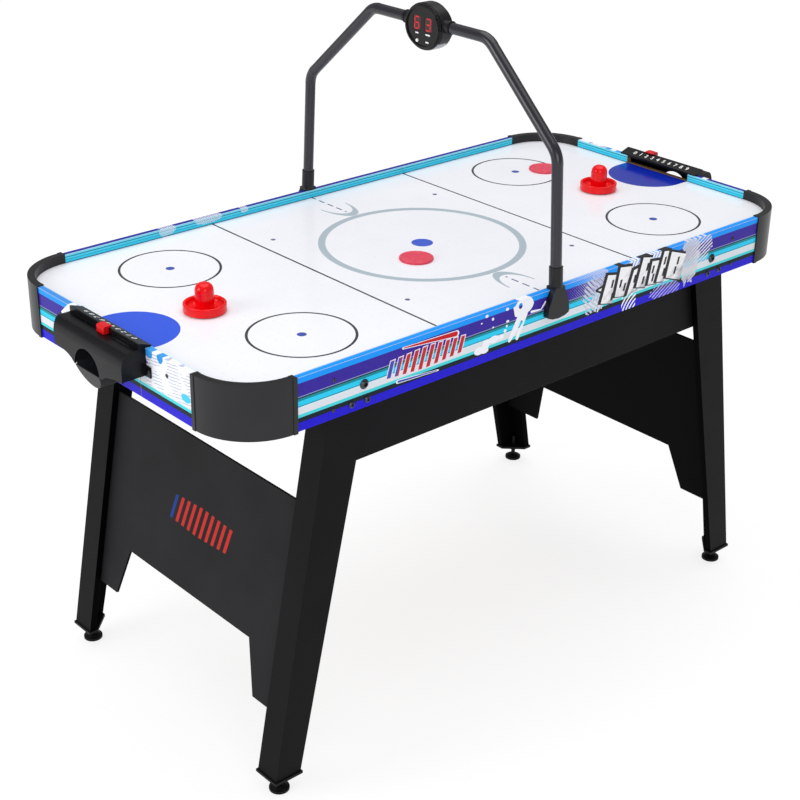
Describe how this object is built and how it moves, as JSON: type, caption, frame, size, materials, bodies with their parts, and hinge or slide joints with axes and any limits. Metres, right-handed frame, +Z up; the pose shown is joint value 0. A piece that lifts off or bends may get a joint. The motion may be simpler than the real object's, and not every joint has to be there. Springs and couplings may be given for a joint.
{
  "type": "air hockey table",
  "caption": "Air hockey table with an air-fed playfield, rail cushions, goal units with pick-up trays, sliding score markers and an overhead scoring arch.",
  "frame": {"origin": "centre of the footprint at floor level", "axes": "+X along the length of the table, +Z up, -Y the front long side"},
  "size_m": [1.602, 0.7834, 1.356],
  "materials": {
    "playfield_laminate": "glossy white laminate",
    "bare_board": "raw fibreboard",
    "rail_print": "printed laminate in blue and purple stripes",
    "cap_plastic": "fine-grained moulded plastic",
    "goal_plastic": "satin moulded plastic",
    "slider_red": "glossy red",
    "black_laminate": "black wood-grain laminate",
    "leg_plastic": "black laminated leg boards",
    "black_metal": "black powder coat",
    "screw_steel": "zinc plated",
    "bolt_black": "blackened steel",
    "foot_plastic": "moulded plastic",
    "scorer_shell": "satin black",
    "scorer_lens": "ribbed silver",
    "scorer_digits": "smoked red display",
    "button_white": "white push button",
    "blower_plastic": "moulded plastic",
    "motor_steel": "zinc plated can",
    "impeller_plastic": "moulded plastic",
    "inlet_plastic": "moulded plastic",
    "striker_red": "glossy red",
    "felt_grey": "felt",
    "puck_red": "red polycarbonate"
  },
  "bodies": {
    "table": {"playfield": "playfield_laminate", "air_chamber_floor": "bare_board", "air_chamber_battens": "bare_board", "rail_front": "rail_print", "rail_back": "rail_print", "rail_end_left": "rail_print", "rail_end_right": "rail_print", "corner_cap_front_left": "cap_plastic", "corner_cap_front_right": "cap_plastic", "corner_cap_back_left": "cap_plastic", "corner_cap_back_right": "cap_plastic", "goal_housing_left": "goal_plastic", "goal_housing_right": "goal_plastic", "puck_tray_left": "goal_plastic", "puck_tray_right": "goal_plastic", "small_screws": "screw_steel", "leg_front_left": "leg_plastic", "leg_front_right": "leg_plastic", "leg_back_left": "leg_plastic", "leg_back_right": "leg_plastic", "leg_end_plates": "black_metal", "leg_bolts": "bolt_black", "end_panel_left": "black_laminate", "end_panel_right": "black_laminate", "side_panel_front": "black_laminate", "side_panel_back": "black_laminate", "panel_brackets": "screw_steel", "arch_socket_front": "black_metal", "arch_socket_back": "black_metal", "arch_tube_front": "black_metal", "arch_tube_back": "black_metal", "scorer_collars": "scorer_shell", "scorer_barrel": "scorer_shell", "scorer_lens": "scorer_lens", "scorer_face_left": "scorer_shell", "scorer_face_right": "scorer_shell", "scorer_digits_left": "scorer_digits", "scorer_digits_right": "scorer_digits", "blower_housing": "blower_plastic", "blower_grille": "blower_plastic", "blower_motor": "motor_steel", "power_inlet": "inlet_plastic"},
    "slider_left": {"score_slider_left": "slider_red"},
    "slider_right": {"score_slider_right": "slider_red"},
    "foot_front_left": {"leveller_front_left": "foot_plastic"},
    "foot_front_right": {"leveller_front_right": "foot_plastic"},
    "foot_back_left": {"leveller_back_left": "foot_plastic"},
    "foot_back_right": {"leveller_back_right": "foot_plastic"},
    "button_left": {"scorer_button_left": "button_white"},
    "button_right": {"scorer_button_right": "button_white"},
    "impeller": {"blower_impeller": "impeller_plastic"},
    "rocker": {"power_switch": "inlet_plastic"},
    "striker_left": {"striker_left": "striker_red", "striker_felt_left": "felt_grey"},
    "striker_right": {"striker_right": "striker_red", "striker_felt_right": "felt_grey"},
    "puck_centre": {"puck_centre": "puck_red"},
    "puck_far": {"puck_far": "puck_red"}
  },
  "joints": [
    {"name": "score_slider_left_slide", "type": "slide", "parent": "table", "child": "slider_left", "axis": [0, 1, 0], "range_m": [-0.0696, 0.087]},
    {"name": "score_slider_right_slide", "type": "slide", "parent": "table", "child": "slider_right", "axis": [0, -1, 0], "range_m": [-0.0348, 0.1218]},
    {"name": "leveller_front_left_screw", "type": "slide", "parent": "table", "child": "foot_front_left", "axis": [0, 0, -1], "range_m": [0, 0.02]},
    {"name": "leveller_front_right_screw", "type": "slide", "parent": "table", "child": "foot_front_right", "axis": [0, 0, -1], "range_m": [0, 0.02]},
    {"name": "leveller_back_left_screw", "type": "slide", "parent": "table", "child": "foot_back_left", "axis": [0, 0, -1], "range_m": [0, 0.02]},
    {"name": "leveller_back_right_screw", "type": "slide", "parent": "table", "child": "foot_back_right", "axis": [0, 0, -1], "range_m": [0, 0.02]},
    {"name": "button_left_press", "type": "slide", "parent": "table", "child": "button_left", "axis": [1, 0, 0], "range_m": [0, 0.002], "stiffness_N_per_m": 300},
    {"name": "button_right_press", "type": "slide", "parent": "table", "child": "button_right", "axis": [-1, 0, 0], "range_m": [0, 0.002], "stiffness_N_per_m": 300},
    {"name": "impeller_spin", "type": "hinge", "parent": "table", "child": "impeller", "pos_m": [0.15, 0, 0.79], "axis": [0, 0, 1], "continuous": true},
    {"name": "power_switch_rock", "type": "hinge", "parent": "table", "child": "rocker", "pos_m": [-0.255, 0.3435, 0.715], "axis": [1, 0, 0], "range_deg": [0, 20]},
    {"name": "striker_left_sweep", "type": "slide", "parent": "table", "child": "striker_left", "axis": [0, 1, 0], "range_m": [-0.312, 0.332]},
    {"name": "striker_right_push", "type": "slide", "parent": "table", "child": "striker_right", "axis": [1, 0, 0], "range_m": [-0.492, 0.158]},
    {"name": "puck_centre_glide", "type": "slide", "parent": "table", "child": "puck_centre", "axis": [0, 1, 0], "range_m": [-0.266, 0.39]},
    {"name": "puck_far_glide", "type": "slide", "parent": "table", "child": "puck_far", "axis": [1, 0, 0], "range_m": [-1.245, 0.157]}
  ]
}
